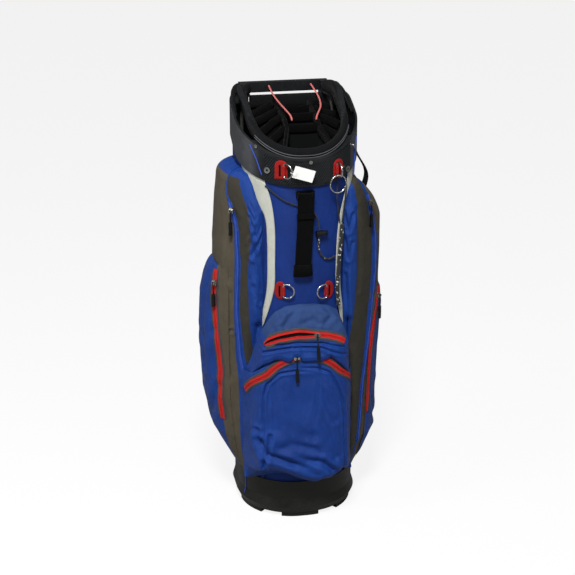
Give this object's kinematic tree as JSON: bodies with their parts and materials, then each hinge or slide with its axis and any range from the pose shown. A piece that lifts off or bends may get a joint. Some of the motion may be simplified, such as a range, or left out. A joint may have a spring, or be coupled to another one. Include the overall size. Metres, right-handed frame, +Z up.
{
  "type": "golf cart bag",
  "caption": "Free-standing golf cart bag with a sloping padded mouth, divided top, moulded base, zipped side and front pockets, towel strap and carry bar.",
  "frame": {"origin": "on the floor, at the middle of the sleeve's plan above the base", "axes": "+Z up, -Y towards the front with the ball pocket, +X to the right as seen from the front"},
  "size_m": [0.412, 0.319, 0.9379],
  "materials": {
    "base_black": "smooth dark moulded plastic",
    "pad_grey": "foam pad",
    "stay_grey": "glass fibre rod",
    "nylon_blue": "woven nylon",
    "nylon_taupe": "woven nylon",
    "stripe_silver": "pale woven stripe",
    "collar_black": "moulded collar with a slight sheen",
    "lip_black": "padded mesh",
    "plate_black": "diagonal ribs",
    "divider_black": "soft brushed cloth",
    "nickel": "bright nickel",
    "red_web": "red webbing",
    "red_tape": "red zip tape",
    "black_plastic": "moulded",
    "black_cord": "braided cord",
    "rope_speckled": "black rope with pale flecks",
    "red_cord": "braided cord",
    "tag_white": "blank card",
    "strap_black": "webbing"
  },
  "bodies": {
    "bag": {"base_cup": "base_black", "stay_rods": "stay_grey", "bottom_pad": "pad_grey", "front_panel": "nylon_blue", "right_side_panel": "nylon_blue", "left_side_panel": "nylon_blue", "spine_panel": "nylon_taupe", "silver_stripes": "stripe_silver", "collar_shell": "collar_black", "collar_lip": "lip_black", "rear_handle": "collar_black", "collar_front_panel": "plate_black", "collar_rivets": "nickel", "hood_studs": "nickel", "centre_dividers": "divider_black", "side_dividers": "divider_black", "left_apparel_pocket": "nylon_taupe", "right_apparel_pocket": "nylon_taupe", "left_accessory_pocket": "nylon_blue", "right_accessory_pocket": "nylon_blue", "ball_pocket": "nylon_blue", "valuables_pocket": "nylon_blue", "ball_zip": "red_tape", "valuables_zip": "red_tape", "apparel_zips": "red_tape", "accessory_zips": "red_tape", "webbing_tabs": "red_web", "strap_anchor": "black_plastic", "cord_lock_body": "black_plastic", "drawcord": "black_cord", "drawcord_tail": "rope_speckled", "lanyard_strands": "black_cord", "lanyard_rope": "rope_speckled", "red_cords": "red_cord", "shoulder_strap": "strap_black", "shoulder_strap_web": "strap_black", "strap_slide": "black_plastic"},
    "ball_slider_body": {"ball_slider": "nickel"},
    "ball_pull_body": {"ball_pull": "black_cord"},
    "valuables_slider_body": {"valuables_slider": "nickel"},
    "valuables_pull_body": {"valuables_pull": "black_cord"},
    "left_apparel_slider_body": {"left_apparel_slider": "nickel"},
    "left_apparel_pull_body": {"left_apparel_pull": "black_cord"},
    "right_apparel_slider_body": {"right_apparel_slider": "nickel"},
    "right_apparel_pull_body": {"right_apparel_pull": "black_cord"},
    "left_accessory_slider_body": {"left_accessory_slider": "nickel"},
    "left_accessory_pull_body": {"left_accessory_pull": "black_cord"},
    "right_accessory_slider_body": {"right_accessory_slider": "nickel"},
    "right_accessory_pull_body": {"right_accessory_pull": "black_cord"},
    "upper_left_ring_body": {"upper_left_ring": "nickel"},
    "lower_left_ring_body": {"lower_left_ring": "nickel"},
    "lower_right_ring_body": {"lower_right_ring": "nickel"},
    "upper_right_ring_body": {"upper_right_ring": "nickel"},
    "key_ring_body": {"key_ring": "nickel"},
    "tag_body": {"tag_loop": "tag_white", "hang_tag": "tag_white"},
    "towel_strap_body": {"towel_strap": "strap_black", "strap_sleeve": "black_plastic"},
    "cord_lock_plunger_body": {"cord_lock_plunger": "black_plastic"}
  },
  "joints": [
    {"name": "ball_slider_run", "type": "hinge", "parent": "bag", "child": "ball_slider_body", "pos_m": [-0.01, -0.16411, 0.29443], "axis": [0, -0.996, 0.0896], "range_deg": [-54, 38]},
    {"name": "ball_pull_swing", "type": "hinge", "parent": "ball_slider_body", "child": "ball_pull_body", "pos_m": [-0.02489, -0.16239, 0.40066], "axis": [-1, 0, 0], "range_deg": [0, 110]},
    {"name": "valuables_slider_run", "type": "hinge", "parent": "bag", "child": "valuables_slider_body", "pos_m": [-0.01, -0.20633, 0.26463], "axis": [0, -0.9553, 0.2957], "range_deg": [-14, 32]},
    {"name": "valuables_pull_swing", "type": "hinge", "parent": "valuables_slider_body", "child": "valuables_pull_body", "pos_m": [0.02019, -0.15742, 0.44904], "axis": [-1, 0, 0], "range_deg": [0, 110]},
    {"name": "left_apparel_slider_run", "type": "slide", "parent": "bag", "child": "left_apparel_slider_body", "axis": [0, 0, -1], "range_m": [0, 0.55]},
    {"name": "left_apparel_pull_swing", "type": "hinge", "parent": "left_apparel_slider_body", "child": "left_apparel_pull_body", "pos_m": [-0.15147, -0.0805, 0.71], "axis": [-0.7936, 0.6084, 0], "range_deg": [0, 110]},
    {"name": "right_apparel_slider_run", "type": "slide", "parent": "bag", "child": "right_apparel_slider_body", "axis": [0, 0, -1], "range_m": [0, 0.55]},
    {"name": "right_apparel_pull_swing", "type": "hinge", "parent": "right_apparel_slider_body", "child": "right_apparel_pull_body", "pos_m": [0.15147, -0.0805, 0.71], "axis": [-0.7936, -0.6084, 0], "range_deg": [0, 110]},
    {"name": "left_accessory_slider_run", "type": "hinge", "parent": "bag", "child": "left_accessory_slider_body", "pos_m": [-0.76093, 0.57142, 0.392], "axis": [-0.7286, -0.6849, 0], "range_deg": [-19, 0]},
    {"name": "left_accessory_pull_swing", "type": "hinge", "parent": "left_accessory_slider_body", "child": "left_accessory_pull_body", "pos_m": [-0.18654, -0.05102, 0.54134], "axis": [-0.6849, 0.7286, 0], "range_deg": [0, 110]},
    {"name": "right_accessory_slider_run", "type": "hinge", "parent": "bag", "child": "right_accessory_slider_body", "pos_m": [0.67974, 0.63505, 0.338], "axis": [0.8038, -0.5948, 0], "range_deg": [0, 16]},
    {"name": "right_accessory_pull_swing", "type": "hinge", "parent": "right_accessory_slider_body", "child": "right_accessory_pull_body", "pos_m": [0.18221, -0.05039, 0.48734], "axis": [-0.5948, -0.8038, 0], "range_deg": [0, 110]},
    {"name": "upper_left_ring_swing", "type": "hinge", "parent": "bag", "child": "upper_left_ring_body", "pos_m": [-0.04732, -0.132, 0.806], "axis": [0, 0, -1], "range_deg": [0, 60]},
    {"name": "lower_left_ring_swing", "type": "hinge", "parent": "bag", "child": "lower_left_ring_body", "pos_m": [-0.04747, -0.12534, 0.541], "axis": [0, 0, -1], "range_deg": [0, 150]},
    {"name": "lower_right_ring_swing", "type": "hinge", "parent": "bag", "child": "lower_right_ring_body", "pos_m": [0.04534, -0.12603, 0.536], "axis": [0, 0, 1], "range_deg": [0, 150]},
    {"name": "upper_right_ring_swing", "type": "hinge", "parent": "bag", "child": "upper_right_ring_body", "pos_m": [0.06549, -0.1247, 0.801], "axis": [0, 0, 1], "range_deg": [-8, 35]},
    {"name": "key_ring_swing", "type": "hinge", "parent": "upper_right_ring_body", "child": "key_ring_body", "pos_m": [0.06697, -0.13051, 0.786], "axis": [0.2472, -0.969, 0], "range_deg": [-20, 20]},
    {"name": "tag_swing", "type": "hinge", "parent": "upper_left_ring_body", "child": "tag_body", "pos_m": [-0.03435, -0.151, 0.806], "axis": [0, 0, -1], "range_deg": [-4, 60]},
    {"name": "towel_strap_swing", "type": "hinge", "parent": "bag", "child": "towel_strap_body", "pos_m": [-0.002, -0.1353, 0.752], "axis": [-1, 0, 0], "range_deg": [0, 100]},
    {"name": "cord_lock_push", "type": "slide", "parent": "bag", "child": "cord_lock_plunger_body", "axis": [-0.9856, -0.1691, 0], "range_m": [0, 0.004], "stiffness_N_per_m": 600}
  ]
}
